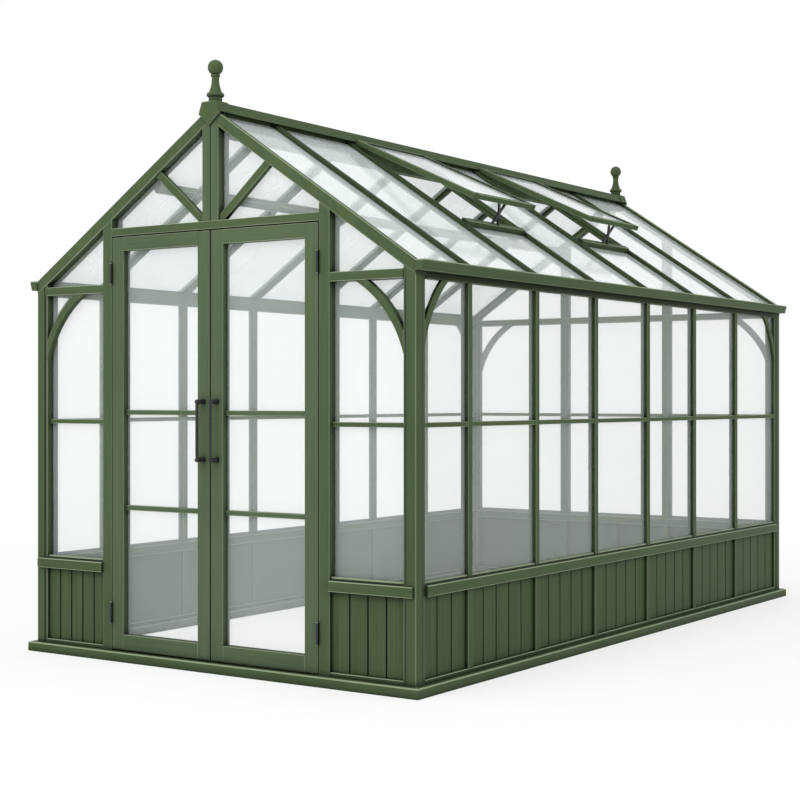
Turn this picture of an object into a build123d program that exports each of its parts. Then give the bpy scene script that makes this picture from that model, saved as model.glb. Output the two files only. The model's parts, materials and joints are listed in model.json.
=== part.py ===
from build123d import *
import os
from math import atan2, cos, degrees, hypot, radians, sin, sqrt

# Glass greenhouse: a painted frame glazed down to a boarded dwarf wall, with a pair of glazed doors
# in the front gable, a pitched glass roof with two open vents, gutters and turned ridge finials.
# Millimetres. X runs across, Y runs along the ridge and Z is up. The doors face -Y.
# The origin is on the ground, midway between the four walls.

os.makedirs("parts", exist_ok=True)

# Whole building, between the outer faces of the frame
wall_length = 4300.0
wall_width = 2340.0
eaves_height = 1900.0
ridge_rise = 780.0
eaves_drop = 78.0

# Plinth
plinth_height = 48.0
plinth_projection = 33.0
plinth_bevel = 6.0

# Frame sections
gable_depth = 80.0
side_depth = 46.0
post_face = 50.0
gable_flange = 18.0
frame_setback = 3.0
rafter_height = 55.0
rafter_lip = 28.0
bar_face = 34.0
roof_bar_depth = 44.0
first_bar = 455.5
bar_pitch = 625.5
bar_count = 6
stud_face = 40.0
transom_face = 22.0
side_transom_setback = 6.0
gable_transom_setback = 22.0
gable_transom_depth = 40.0
mullion_face = 44.0
mullion_offset = 390.0

# Glass and the grooves that hold it
glass_thickness = 4.0
side_glass_setback = 22.0
gable_glass_setback = 42.0
roof_glass_setback = 19.0
groove_depth = 8.0
glass_entry = 7.0
ridge_glass_gap = 6.0
eaves_glass_overhang = 15.0

# Dwarf wall
sill_top = 480.0
sill_height = 49.0
sill_projection = 12.0
sill_bevel = 4.0
sill_corner_margin = 12.0
bottom_rail_height = 20.0
board_setback = 19.0
board_thickness = 16.0
transom_height = 1180.0

# Gable framing
gable_rail_height = 42.0
doorway_width = 1288.0
doorway_lift = 200.0
door_post_face = 60.0
door_stop_width = 12.0
door_stop_gap = 6.0
head_rail_height = 39.0
king_post_face = 100.0
king_post_groove = 5.0
strut_face = 38.0
strut_setback = 8.0
strut_thickness = 28.0
strut_reach = 340.0

# Curved brackets in the top corners of the walls
bracket_radius = 550.0
bracket_face = 36.0
gable_bracket_run = 262.0
gable_bracket_drop = 328.0
gable_bracket_thickness = 30.0
side_bracket_run = 190.0
side_bracket_drop = 288.0
side_bracket_thickness = 15.0

# Gutter
gutter_height = 48.0
gutter_top_width = 48.0
gutter_bottom_width = 36.0
gutter_wall = 3.0
gutter_overrun = 6.0

# Ridge
ridge_cap_rise = 20.0
ridge_cap_top_width = 80.0
ridge_cap_bottom_width = 122.0
ridge_cap_drop = 48.0
ridge_cap_wall = 3.0
ridge_board_thickness = 40.0
ridge_board_height = 152.0
sleeve_wall = 4.0
sleeve_length = 76.0
apex_plate_thickness = 10.0
apex_plate_drop = 112.0
apex_plate_shoulder_drop = 58.0
apex_plate_shoulder_width = 130.0
purlin_offset = 420.0
purlin_width = 46.0
purlin_depth = 34.0

# Turned finials, from the foot up to the ball
finial_base_radius = 32.5
finial_base_height = 25.0
finial_ring_radius = 42.5
finial_ring_height = 20.0
finial_flare_radius = 33.0
finial_waist_radius = 21.5
finial_waist_height = 31.92
finial_neck_radius = 18.0
finial_neck_height = 76.0
finial_collar_radius = 23.0
finial_collar_height = 13.0
finial_ball_radius = 37.0

# Roof vents, fixed open
vent_opening_angle = 9.0
vent_hinge_offset = 68.0
vent_sash_length = 800.0
vent_sash_depth = 28.0
vent_sash_lap = 14.0
vent_sash_face = 32.0
vent_glass_setback = 8.0
vent_sill_offset = 730.0
vent_sill_face = 34.0
vent_sill_upstand = 12.0
stay_width = 60.0
stay_bar = 10.0
stay_thickness = 12.0
stay_pivot_radius = 9.0

# Doors
door_side_gap = 5.0
door_meeting_gap = 8.5
door_head_gap = 6.0
door_foot_gap = 8.0
leaf_thickness = 50.0
leaf_stile = 75.0
leaf_top_rail = 68.0
leaf_bottom_rail = 75.0
leaf_glass_setback = 32.0
leaf_bar_face = 24.0
leaf_bar_setback = 18.0
leaf_bar_depth = 30.0
leaf_bar_heights = (757.0, 1228.0)

# Hinges and handles
hinge_height = 100.0
hinge_radius = 6.0
hinge_standoff = 8.0
hinge_plate_thickness = 1.5
hinge_plate_depth = 30.0
hinge_running_gap = 0.5
hinge_barrel_clearance = 1.0
hinge_end_margin = 180.0
handle_height = 1143.5
handle_length = 275.0
handle_projection = 48.0
handle_radius = 7.0
handle_bend = 22.0
handle_foot_radius = 14.0
handle_foot_thickness = 4.0
handle_post_radius = 11.0
handle_post_bevel = 4.0

# Values worked out from the sizes above
half_length = wall_length / 2
half_width = wall_width / 2
half_doorway = doorway_width / 2
door_post_outer = half_doorway + door_post_face
inner_length = half_length - gable_depth
gable_clear = half_width - post_face - gable_flange
roof_pitch = atan2(ridge_rise, half_width)
slope_length = hypot(half_width, ridge_rise)
down_slope = (cos(roof_pitch), 0, -sin(roof_pitch))
roof_normal = (sin(roof_pitch), 0, cos(roof_pitch))
bar_places = [first_bar - half_length + i * bar_pitch for i in range(bar_count)]
dwarf_bottom = plinth_height + bottom_rail_height
dwarf_top = sill_top - sill_height
wall_head = eaves_height - eaves_drop
rail_top = wall_head + gable_rail_height
doorway_head = eaves_height + doorway_lift
head_top = doorway_head + head_rail_height
leaf_bottom = plinth_height + door_foot_gap
leaf_top = doorway_head - door_head_gap
leaf_edge = half_doorway - door_side_gap
ridge_top = eaves_height + ridge_rise + ridge_cap_rise
ridge_board_top = ridge_top - ridge_cap_wall
vent_bays = range(2, bar_count, 2)


# The clear bays along a wall or a roof slope between uprights of a given face, from end to end
def clear_bays(face, end):
    starts = [-end] + [y + face / 2 for y in bar_places]
    ends = [y - face / 2 for y in bar_places] + [end]
    return list(zip(starts, ends))


glazed_bays = clear_bays(bar_face, inner_length)
boarded_bays = clear_bays(stud_face, inner_length)
roof_bays = clear_bays(bar_face, half_length - rafter_lip - groove_depth)


# Height of a line that runs parallel to the right roof slope, a given depth square below its top
def roof_height(x, below=0.0):
    return eaves_height + (half_width - x) * ridge_rise / half_width - below / cos(roof_pitch)


# Planes parallel to the right and left roof slopes, a given depth square below them, facing out
def right_slope(below):
    origin = Vector(0, 0, roof_height(0)) - Vector(*roof_normal) * below
    return Plane(origin=origin, x_dir=down_slope, z_dir=roof_normal)


def left_slope(below):
    normal = (-sin(roof_pitch), 0, cos(roof_pitch))
    origin = Vector(0, 0, roof_height(0)) - Vector(*normal) * below
    return Plane(origin=origin, x_dir=(0, 1, 0), z_dir=normal)


# Plane square across the right roof slope: local x runs along the ridge and local y out of the roof
def across_slope(y):
    return Plane(origin=(0, y, roof_height(0)), x_dir=(0, 1, 0), z_dir=down_slope)


# Plane of a cross section of the building, seen from the front
def cross_section(y=0.0):
    return Plane(origin=(0, y, 0), x_dir=(1, 0, 0), z_dir=(0, -1, 0))


# Plane parallel to the front gable, a given depth behind its face: a negative extrusion goes inwards
def front_plane(setback):
    return cross_section(setback - half_length)


# Plane parallel to the right wall, a given depth behind its face: local x runs to the back
def side_plane(setback):
    return Plane(origin=(half_width - setback, 0, 0), x_dir=(0, 1, 0), z_dir=(1, 0, 0))


# Section of a bar with a glass groove in each side. Its outer face is the local y = 0 line.
def grooved_bar(face, depth, glass_setback):
    Rectangle(face, depth, align=(Align.CENTER, Align.MAX))
    with Locations((face / 2, -glass_setback), (-face / 2, -glass_setback)):
        Rectangle(2 * groove_depth, glass_thickness, align=(Align.CENTER, Align.MAX), mode=Mode.SUBTRACT)


# Curved band in the corner under a rail: the post is the local x = 0 line, the rail is y = 0
def bracket_section(run, drop):
    chord = hypot(run, drop)
    reach = sqrt(bracket_radius**2 - (chord / 2) ** 2)
    with Locations((run / 2 + reach * drop / chord, -drop / 2 - reach * run / chord)):
        Circle(bracket_radius + bracket_face)
        Circle(bracket_radius, mode=Mode.SUBTRACT)
    Rectangle(run, drop, align=(Align.MIN, Align.MAX), mode=Mode.INTERSECT)


# Rectangle drawn from its two corners
def box_between(x0, y0, x1, y1, mode=Mode.ADD):
    with Locations((x0, y0)):
        Rectangle(x1 - x0, y1 - y0, align=Align.MIN, mode=mode)


# Plinth: a mitred ring that carries the walls, bevelled along its outer top edge
def plinth_section(inner, outer):
    Polygon(
        (inner, 0),
        (outer, 0),
        (outer, plinth_height - plinth_bevel),
        (outer - plinth_bevel, plinth_height),
        (inner, plinth_height),
        align=None,
    )


corner_x = half_width + plinth_projection
corner_y = half_length + plinth_projection
with BuildPart() as plinth_sides:
    with BuildSketch(cross_section()):
        plinth_section(half_width - gable_depth, corner_x)
    extrude(amount=corner_y, both=True)
    split(bisect_by=Plane(origin=(corner_x, corner_y, 0), z_dir=(-1, 1, 0)), keep=Keep.BOTTOM)
    split(bisect_by=Plane(origin=(corner_x, -corner_y, 0), z_dir=(-1, -1, 0)), keep=Keep.BOTTOM)
    mirror(about=Plane.YZ)
plinth_sides.part.label = "plinth_sides"
export_step(plinth_sides.part, "parts/plinth_sides.step")

with BuildPart() as plinth_ends:
    with BuildSketch(Plane.YZ):
        plinth_section(inner_length, corner_y)
    extrude(amount=corner_x, both=True)
    split(bisect_by=Plane(origin=(corner_x, corner_y, 0), z_dir=(1, -1, 0)), keep=Keep.BOTTOM)
    split(bisect_by=Plane(origin=(-corner_x, corner_y, 0), z_dir=(-1, -1, 0)), keep=Keep.BOTTOM)
    mirror(about=Plane.XZ)
plinth_ends.part.label = "plinth_ends"
export_step(plinth_ends.part, "parts/plinth_ends.step")

# Corner posts: a square post with a glazing flange on each wall, cut to the pitch under the rafters
with BuildPart() as corner_posts:
    with BuildSketch(Plane.XY.offset(plinth_height)):
        box_between(half_width - post_face, -half_length, half_width, post_face - half_length)
        box_between(gable_clear, frame_setback - half_length, half_width - post_face, -inner_length)
        box_between(
            half_width - side_depth, post_face - half_length, half_width - frame_setback, -inner_length
        )
        with Locations((gable_clear, gable_glass_setback - half_length)):
            Rectangle(2 * groove_depth, glass_thickness, align=(Align.CENTER, Align.MIN), mode=Mode.SUBTRACT)
        with Locations((half_width - side_glass_setback, -inner_length)):
            Rectangle(glass_thickness, 2 * groove_depth, align=(Align.MAX, Align.CENTER), mode=Mode.SUBTRACT)
    extrude(amount=eaves_height)
    split(bisect_by=right_slope(rafter_height), keep=Keep.BOTTOM)
    mirror(about=Plane.XZ)
    mirror(about=Plane.YZ)
corner_posts.part.label = "corner_posts"
export_step(corner_posts.part, "parts/corner_posts.step")

# Bottom rails: the beads along the plinth at the foot of the boards
with BuildPart() as bottom_rails:
    with BuildSketch(Plane.XY.offset(plinth_height)):
        box_between(half_width - side_depth, -inner_length, half_width - frame_setback, inner_length)
        box_between(door_post_outer, frame_setback - half_length, gable_clear, -inner_length)
    extrude(amount=bottom_rail_height)
    mirror(about=Plane.YZ)
    with BuildSketch(Plane.XY.offset(plinth_height)):
        box_between(-gable_clear, inner_length, gable_clear, half_length - frame_setback)
    extrude(amount=bottom_rail_height)
bottom_rails.part.label = "bottom_rails"
export_step(bottom_rails.part, "parts/bottom_rails.step")

# Sill rails on the long walls: proud of the posts, bevelled, with a groove for the glass
with BuildPart() as sill_rails_sides:
    with BuildSketch(cross_section()):
        with BuildLine():
            Polyline(
                (half_width - side_depth, dwarf_top),
                (half_width + sill_projection, dwarf_top),
                (half_width + sill_projection, sill_top - sill_bevel),
                (half_width + sill_projection - sill_bevel, sill_top),
                (half_width - side_depth, sill_top),
                close=True,
            )
        make_face()
        with Locations((half_width - side_glass_setback, sill_top)):
            Rectangle(glass_thickness, 2 * groove_depth, align=(Align.MAX, Align.CENTER), mode=Mode.SUBTRACT)
    extrude(amount=inner_length, both=True)
    mirror(about=Plane.YZ)
sill_rails_sides.part.label = "sill_rails_sides"
export_step(sill_rails_sides.part, "parts/sill_rails_sides.step")


# Section of a sill rail on the front gable, seen along X, back to a given face
def gable_sill_section(back):
    front = -half_length - sill_projection
    Polygon(
        (back, dwarf_top),
        (front, dwarf_top),
        (front, sill_top - sill_bevel),
        (front + sill_bevel, sill_top),
        (back, sill_top),
        align=None,
    )
    with Locations((gable_glass_setback - half_length, sill_top)):
        Rectangle(glass_thickness, 2 * groove_depth, align=(Align.MIN, Align.CENTER), mode=Mode.SUBTRACT)


# Sill rails on the gables: a proud face strip laps over the corner posts, short of the corner.
# The back one is drawn at the front and mirrored.
sill_lap_end = half_width - sill_corner_margin
with BuildPart() as back_sill:
    with BuildSketch(Plane.YZ):
        gable_sill_section(-inner_length)
    extrude(amount=gable_clear, both=True)
    with BuildSketch(Plane.YZ):
        gable_sill_section(-half_length)
    extrude(amount=sill_lap_end, both=True)

with BuildPart() as sill_rails_ends:
    with BuildSketch(Plane.YZ.offset(door_post_outer)):
        gable_sill_section(-inner_length)
    extrude(amount=gable_clear - door_post_outer)
    with BuildSketch(Plane.YZ.offset(door_post_outer)):
        gable_sill_section(-half_length)
    extrude(amount=sill_lap_end - door_post_outer)
    mirror(about=Plane.YZ)
    mirror(back_sill.part, about=Plane.XZ)
sill_rails_ends.part.label = "sill_rails_ends"
export_step(sill_rails_ends.part, "parts/sill_rails_ends.step")

# Studs of the dwarf wall, in line with the glazing bars and the back mullions
back_stud_places = (-mullion_offset, 0, mullion_offset)
with BuildPart() as dwarf_wall_studs:
    with BuildSketch(Plane.XY.offset(dwarf_bottom)):
        for y in bar_places:
            box_between(
                half_width - side_depth, y - stud_face / 2, half_width - frame_setback, y + stud_face / 2
            )
    extrude(amount=dwarf_top - dwarf_bottom)
    mirror(about=Plane.YZ)
    with BuildSketch(Plane.XY.offset(dwarf_bottom)):
        for x in back_stud_places:
            box_between(x - stud_face / 2, inner_length, x + stud_face / 2, half_length - frame_setback)
    extrude(amount=dwarf_top - dwarf_bottom)
dwarf_wall_studs.part.label = "dwarf_wall_studs"
export_step(dwarf_wall_studs.part, "parts/dwarf_wall_studs.step")

# Boarding of the dwarf wall, one panel to a bay
back_board_edges = [-gable_clear]
for x in back_stud_places:
    back_board_edges += [x - stud_face / 2, x + stud_face / 2]
back_board_edges.append(gable_clear)
with BuildPart() as dwarf_wall_boards:
    with BuildSketch(side_plane(board_setback)):
        for start, end in boarded_bays:
            box_between(start, dwarf_bottom, end, dwarf_top)
    extrude(amount=-board_thickness)
    mirror(about=Plane.YZ)
    with BuildSketch(front_plane(board_setback)):
        box_between(door_post_outer, dwarf_bottom, gable_clear, dwarf_top)
        box_between(-gable_clear, dwarf_bottom, -door_post_outer, dwarf_top)
    extrude(amount=-board_thickness)
    with BuildSketch(cross_section(half_length - board_setback)):
        for start, end in zip(back_board_edges[::2], back_board_edges[1::2]):
            box_between(start, dwarf_bottom, end, dwarf_top)
    extrude(amount=board_thickness)
dwarf_wall_boards.part.label = "dwarf_wall_boards"
export_step(dwarf_wall_boards.part, "parts/dwarf_wall_boards.step")

# Glazing bars of the long walls
with BuildPart() as glazing_bars:
    for y in bar_places:
        with BuildSketch(Plane(origin=(half_width - frame_setback, y, sill_top), x_dir=(0, -1, 0))):
            grooved_bar(bar_face, side_depth - frame_setback, side_glass_setback - frame_setback)
        extrude(amount=wall_head - sill_top)
    mirror(about=Plane.YZ)
glazing_bars.part.label = "glazing_bars"
export_step(glazing_bars.part, "parts/glazing_bars.step")

# Transoms halfway up the glass
back_glazed = [
    (-gable_clear, -mullion_offset - mullion_face / 2),
    (mullion_face / 2 - mullion_offset, mullion_offset - mullion_face / 2),
    (mullion_offset + mullion_face / 2, gable_clear),
]
with BuildPart() as wall_transoms:
    for start, end in glazed_bays:
        place = (half_width - side_transom_setback, start, transom_height)
        with BuildSketch(Plane(origin=place, x_dir=(0, 0, 1), z_dir=(0, 1, 0))):
            grooved_bar(
                transom_face, side_depth - side_transom_setback, side_glass_setback - side_transom_setback
            )
        extrude(amount=end - start)
    front_place = (door_post_outer, gable_transom_setback - half_length, transom_height)
    with BuildSketch(Plane(origin=front_place, x_dir=(0, 0, 1), z_dir=(1, 0, 0))):
        grooved_bar(transom_face, gable_transom_depth, gable_glass_setback - gable_transom_setback)
    extrude(amount=gable_clear - door_post_outer)
    mirror(about=Plane.YZ)
    for start, end in back_glazed:
        back_place = (end, half_length - gable_transom_setback, transom_height)
        with BuildSketch(Plane(origin=back_place, x_dir=(0, 0, 1), z_dir=(-1, 0, 0))):
            grooved_bar(transom_face, gable_transom_depth, gable_glass_setback - gable_transom_setback)
        extrude(amount=end - start)
wall_transoms.part.label = "wall_transoms"
export_step(wall_transoms.part, "parts/wall_transoms.step")

# Glass of the long walls: a pane under and a pane over each transom
pane_heights = [
    (sill_top - glass_entry, transom_height - transom_face / 2 + glass_entry),
    (transom_height + transom_face / 2 - glass_entry, wall_head + glass_entry),
]
with BuildPart() as side_wall_glass:
    with BuildSketch(side_plane(side_glass_setback)):
        for start, end in glazed_bays:
            for low, high in pane_heights:
                box_between(start - glass_entry, low, end + glass_entry, high)
    extrude(amount=-glass_thickness)
    mirror(about=Plane.YZ)
side_wall_glass.part.label = "side_wall_glass"
export_step(side_wall_glass.part, "parts/side_wall_glass.step")

# Eaves beams along the heads of the long walls, with their tops cut to the pitch under the roof glass
glass_bed = roof_glass_setback + glass_thickness
beam_inner = half_width - side_depth
with BuildPart() as eaves_beams:
    with BuildSketch(cross_section()):
        with BuildLine():
            Polyline(
                (beam_inner, wall_head),
                (half_width, wall_head),
                (half_width, roof_height(half_width, glass_bed)),
                (beam_inner, roof_height(beam_inner, glass_bed)),
                close=True,
            )
        make_face()
        with Locations((half_width - side_glass_setback, wall_head)):
            Rectangle(glass_thickness, 2 * groove_depth, align=(Align.MAX, Align.CENTER), mode=Mode.SUBTRACT)
    extrude(amount=inner_length, both=True)
    mirror(about=Plane.YZ)
eaves_beams.part.label = "eaves_beams"
export_step(eaves_beams.part, "parts/eaves_beams.step")

# Gutters: an open channel with a sloping front and closed ends, hung outside the eaves
gutter_bottom = eaves_height - gutter_height
gutter_top_edge = half_width + gutter_top_width
gutter_bottom_edge = half_width + gutter_bottom_width
gutter_back_top = roof_height(half_width + gutter_wall, glass_bed)
with BuildPart() as gutters:
    with BuildSketch(cross_section()):
        with BuildLine():
            Polyline(
                (half_width, gutter_bottom),
                (gutter_bottom_edge, gutter_bottom),
                (gutter_top_edge, eaves_height),
                (gutter_top_edge - gutter_wall, eaves_height),
                (gutter_bottom_edge - gutter_wall, gutter_bottom + gutter_wall),
                (half_width + gutter_wall, gutter_bottom + gutter_wall),
                (half_width + gutter_wall, gutter_back_top),
                (half_width, gutter_back_top),
                close=True,
            )
        make_face()
    extrude(amount=half_length + gutter_overrun, both=True)
    for end_face in (half_length + gutter_overrun, gutter_wall - half_length - gutter_overrun):
        with BuildSketch(cross_section(end_face)):
            with BuildLine():
                Polyline(
                    (half_width, gutter_bottom),
                    (gutter_bottom_edge, gutter_bottom),
                    (gutter_top_edge, eaves_height),
                    (half_width, eaves_height),
                    close=True,
                )
            make_face()
        extrude(amount=gutter_wall)
    mirror(about=Plane.YZ)
gutters.part.label = "gutters"
export_step(gutters.part, "parts/gutters.step")

# Gable rafters: they meet on the centre line and are cut plumb at the eaves. The roof glass lies in
# a rebate behind the lip along their front edges.
with BuildPart() as gable_rafters_right:
    with BuildSketch(across_slope(-half_length)):
        box_between(0, -rafter_height, gable_depth, 0)
        with Locations((gable_glass_setback, -rafter_height)):
            Rectangle(glass_thickness, 2 * groove_depth, align=(Align.MIN, Align.CENTER), mode=Mode.SUBTRACT)
        box_between(rafter_lip, -glass_bed, gable_depth, 0, mode=Mode.SUBTRACT)
    extrude(amount=slope_length + rafter_height)
    split(bisect_by=Plane.YZ, keep=Keep.TOP)
    split(bisect_by=Plane.YZ.offset(half_width), keep=Keep.BOTTOM)
    mirror(about=Plane.XZ)
gable_rafters_right.part.label = "gable_rafters_right"
export_step(gable_rafters_right.part, "parts/gable_rafters_right.step")

with BuildPart() as gable_rafters_left:
    mirror(gable_rafters_right.part, about=Plane.YZ)
gable_rafters_left.part.label = "gable_rafters_left"
export_step(gable_rafters_left.part, "parts/gable_rafters_left.step")

# Door posts, with a stop behind the leaves and a groove for the glass over the doorway
with BuildPart() as door_posts:
    with BuildSketch(Plane.XY.offset(plinth_height)):
        box_between(half_doorway, -half_length, door_post_outer, -inner_length)
        with Locations((door_post_outer, gable_glass_setback - half_length)):
            Rectangle(2 * groove_depth, glass_thickness, align=(Align.CENTER, Align.MIN), mode=Mode.SUBTRACT)
    extrude(amount=ridge_top)
    split(bisect_by=right_slope(rafter_height), keep=Keep.BOTTOM)
    with BuildSketch(Plane.XY.offset(plinth_height)):
        box_between(
            half_doorway - door_stop_width,
            leaf_thickness + door_stop_gap - half_length,
            half_doorway,
            -inner_length,
        )
    extrude(amount=doorway_head - plinth_height)
    with BuildSketch(Plane.XY.offset(head_top - groove_depth)):
        with Locations((half_doorway, gable_glass_setback - half_length)):
            Rectangle(2 * groove_depth, glass_thickness, align=(Align.CENTER, Align.MIN))
    extrude(amount=ridge_top - head_top, mode=Mode.SUBTRACT)
    mirror(about=Plane.YZ)
door_posts.part.label = "door_posts"
export_step(door_posts.part, "parts/door_posts.step")

# Rails across the gables: the door head with its stop, the front rails and the back tie rail
with BuildPart() as gable_rails:
    with BuildSketch(Plane.YZ.offset(door_post_outer)):
        box_between(-half_length, wall_head, -inner_length, rail_top)
        for edge in (wall_head, rail_top):
            with Locations((gable_glass_setback - half_length, edge)):
                Rectangle(
                    glass_thickness, 2 * groove_depth, align=(Align.MIN, Align.CENTER), mode=Mode.SUBTRACT
                )
    extrude(amount=gable_clear - door_post_outer)
    mirror(about=Plane.YZ)
    with BuildSketch(Plane.YZ):
        box_between(-half_length, doorway_head, -inner_length, head_top)
        with Locations((gable_glass_setback - half_length, head_top)):
            Rectangle(glass_thickness, 2 * groove_depth, align=(Align.MIN, Align.CENTER), mode=Mode.SUBTRACT)
    extrude(amount=half_doorway, both=True)
    with BuildSketch(Plane.YZ):
        box_between(
            leaf_thickness + door_stop_gap - half_length,
            doorway_head - door_stop_width,
            -inner_length,
            doorway_head,
        )
    extrude(amount=half_doorway - door_stop_width, both=True)
    with BuildSketch(Plane.YZ):
        box_between(inner_length, wall_head, half_length, rail_top)
        for edge in (wall_head, rail_top):
            with Locations((half_length - gable_glass_setback, edge)):
                Rectangle(
                    glass_thickness, 2 * groove_depth, align=(Align.MAX, Align.CENTER), mode=Mode.SUBTRACT
                )
    extrude(amount=gable_clear, both=True)
gable_rails.part.label = "gable_rails"
export_step(gable_rails.part, "parts/gable_rails.step")

# Back mullions, under the tie rail and on from it up to the rafters
with BuildPart() as back_mullions:
    for foot, head in ((sill_top, wall_head), (rail_top, ridge_top)):
        for x in (-mullion_offset, mullion_offset):
            place = (x, half_length - frame_setback, foot)
            with BuildSketch(Plane(origin=place, x_dir=(1, 0, 0))):
                grooved_bar(
                    mullion_face, gable_depth - frame_setback, gable_glass_setback - frame_setback
                )
            extrude(amount=head - foot)
    split(bisect_by=right_slope(rafter_height), keep=Keep.BOTTOM)
    split(bisect_by=left_slope(rafter_height), keep=Keep.BOTTOM)
back_mullions.part.label = "back_mullions"
export_step(back_mullions.part, "parts/back_mullions.step")

# King post over the doors, scored down its middle and pointed between the rafters
with BuildPart() as king_post:
    with BuildSketch(Plane(origin=(0, -half_length, head_top), x_dir=(-1, 0, 0))):
        grooved_bar(king_post_face, gable_depth, gable_glass_setback)
        Rectangle(king_post_groove, 2 * king_post_groove, mode=Mode.SUBTRACT)
    extrude(amount=ridge_top - head_top)
    split(bisect_by=right_slope(rafter_height), keep=Keep.BOTTOM)
    split(bisect_by=left_slope(rafter_height), keep=Keep.BOTTOM)
king_post.part.label = "king_post"
export_step(king_post.part, "parts/king_post.step")

# Struts from the foot of the king post out to the rafters
strut_rise = roof_height(strut_reach, rafter_height) - head_top
strut_run = strut_reach - king_post_face / 2
with BuildPart() as gable_struts:
    with BuildSketch(front_plane(strut_setback)):
        with Locations((king_post_face / 2, head_top)):
            Rectangle(3 * strut_reach, strut_face, rotation=degrees(atan2(strut_rise, strut_run)))
            Rectangle(half_width, half_width, align=Align.MIN, mode=Mode.INTERSECT)
    extrude(amount=-strut_thickness)
    split(bisect_by=right_slope(rafter_height), keep=Keep.BOTTOM)
    mirror(about=Plane.YZ)
gable_struts.part.label = "gable_struts"
export_step(gable_struts.part, "parts/gable_struts.step")

# Glass of the gables: panes in the walls, and panes over the rails let into the rafters' undersides
front_glazed = [(-gable_clear, -door_post_outer), (door_post_outer, gable_clear)]
front_uppers = [
    (-gable_clear, -door_post_outer, rail_top),
    (-half_doorway, -king_post_face / 2, head_top),
    (king_post_face / 2, half_doorway, head_top),
    (door_post_outer, gable_clear, rail_top),
]
with BuildPart() as gable_glass:
    with BuildSketch(front_plane(gable_glass_setback)):
        for start, end in front_glazed:
            for low, high in pane_heights:
                box_between(start - glass_entry, low, end + glass_entry, high)
        for start, end, foot in front_uppers:
            box_between(start - glass_entry, foot - glass_entry, end + glass_entry, ridge_top)
    extrude(amount=-glass_thickness)
    with BuildSketch(cross_section(half_length - gable_glass_setback)):
        for start, end in back_glazed:
            for low, high in pane_heights:
                box_between(start - glass_entry, low, end + glass_entry, high)
            box_between(start - glass_entry, rail_top - glass_entry, end + glass_entry, ridge_top)
    extrude(amount=glass_thickness)
    split(bisect_by=right_slope(rafter_height - glass_entry), keep=Keep.BOTTOM)
    split(bisect_by=left_slope(rafter_height - glass_entry), keep=Keep.BOTTOM)
gable_glass.part.label = "gable_glass"
export_step(gable_glass.part, "parts/gable_glass.step")

# Curved brackets at each corner, one on the gable and one on the long wall
with BuildPart() as corner_brackets:
    place = (-gable_clear, frame_setback - half_length, wall_head)
    with BuildSketch(Plane(origin=place, x_dir=(1, 0, 0), z_dir=(0, -1, 0))):
        bracket_section(gable_bracket_run, gable_bracket_drop)
    extrude(amount=-gable_bracket_thickness)
    mirror(about=Plane.YZ)
    place = (half_width - frame_setback, -inner_length, wall_head)
    with BuildSketch(Plane(origin=place, x_dir=(0, 1, 0), z_dir=(1, 0, 0))):
        bracket_section(side_bracket_run, side_bracket_drop)
    extrude(amount=-side_bracket_thickness)
    place = (frame_setback - half_width, -inner_length, wall_head)
    with BuildSketch(Plane(origin=place, x_dir=(0, 1, 0), z_dir=(1, 0, 0))):
        bracket_section(side_bracket_run, side_bracket_drop)
    extrude(amount=side_bracket_thickness)
    mirror(about=Plane.XZ)
corner_brackets.part.label = "corner_brackets"
export_step(corner_brackets.part, "parts/corner_brackets.step")

# Ridge board between the gable rafters
with BuildPart() as ridge_board:
    with BuildSketch(cross_section()):
        box_between(
            -ridge_board_thickness / 2,
            ridge_board_top - ridge_board_height,
            ridge_board_thickness / 2,
            ridge_board_top,
        )
    extrude(amount=inner_length, both=True)
ridge_board.part.label = "ridge_board"
export_step(ridge_board.part, "parts/ridge_board.step")


# Section of a folded cap that sits over the ridge, between two outlines spread out from the cap's own
def folded_cap_section(outer_spread, inner_spread):
    points = []
    for spread, sign in ((outer_spread, 1), (inner_spread, -1)):
        top = (ridge_cap_top_width / 2 + spread, ridge_top + spread)
        lip = (ridge_cap_bottom_width / 2 + spread, ridge_top - ridge_cap_drop)
        for x, z in (lip, top):
            points.append((-sign * x, z))
        for x, z in (top, lip):
            points.append((sign * x, z))
    Polygon(*points, align=None)


with BuildPart() as ridge_cap:
    with BuildSketch(cross_section()):
        folded_cap_section(0, -ridge_cap_wall)
    extrude(amount=half_length, both=True)
ridge_cap.part.label = "ridge_cap"
export_step(ridge_cap.part, "parts/ridge_cap.step")

# Apex plates: a pointed plate on each gable, with a sleeve round the end of the ridge cap
plate_top = ridge_top + sleeve_wall
with BuildPart() as apex_plates:
    with BuildSketch(cross_section(-half_length)):
        with BuildLine():
            Polyline(
                (-ridge_cap_top_width / 2 - sleeve_wall, plate_top),
                (-apex_plate_shoulder_width / 2, plate_top - apex_plate_shoulder_drop),
                (0, plate_top - apex_plate_drop),
                (apex_plate_shoulder_width / 2, plate_top - apex_plate_shoulder_drop),
                (ridge_cap_top_width / 2 + sleeve_wall, plate_top),
                close=True,
            )
        make_face()
    extrude(amount=apex_plate_thickness)
    with BuildSketch(cross_section(-half_length)):
        folded_cap_section(sleeve_wall, 0)
    extrude(amount=-sleeve_length)
    mirror(about=Plane.XZ)
apex_plates.part.label = "apex_plates"
export_step(apex_plates.part, "parts/apex_plates.step")

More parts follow.
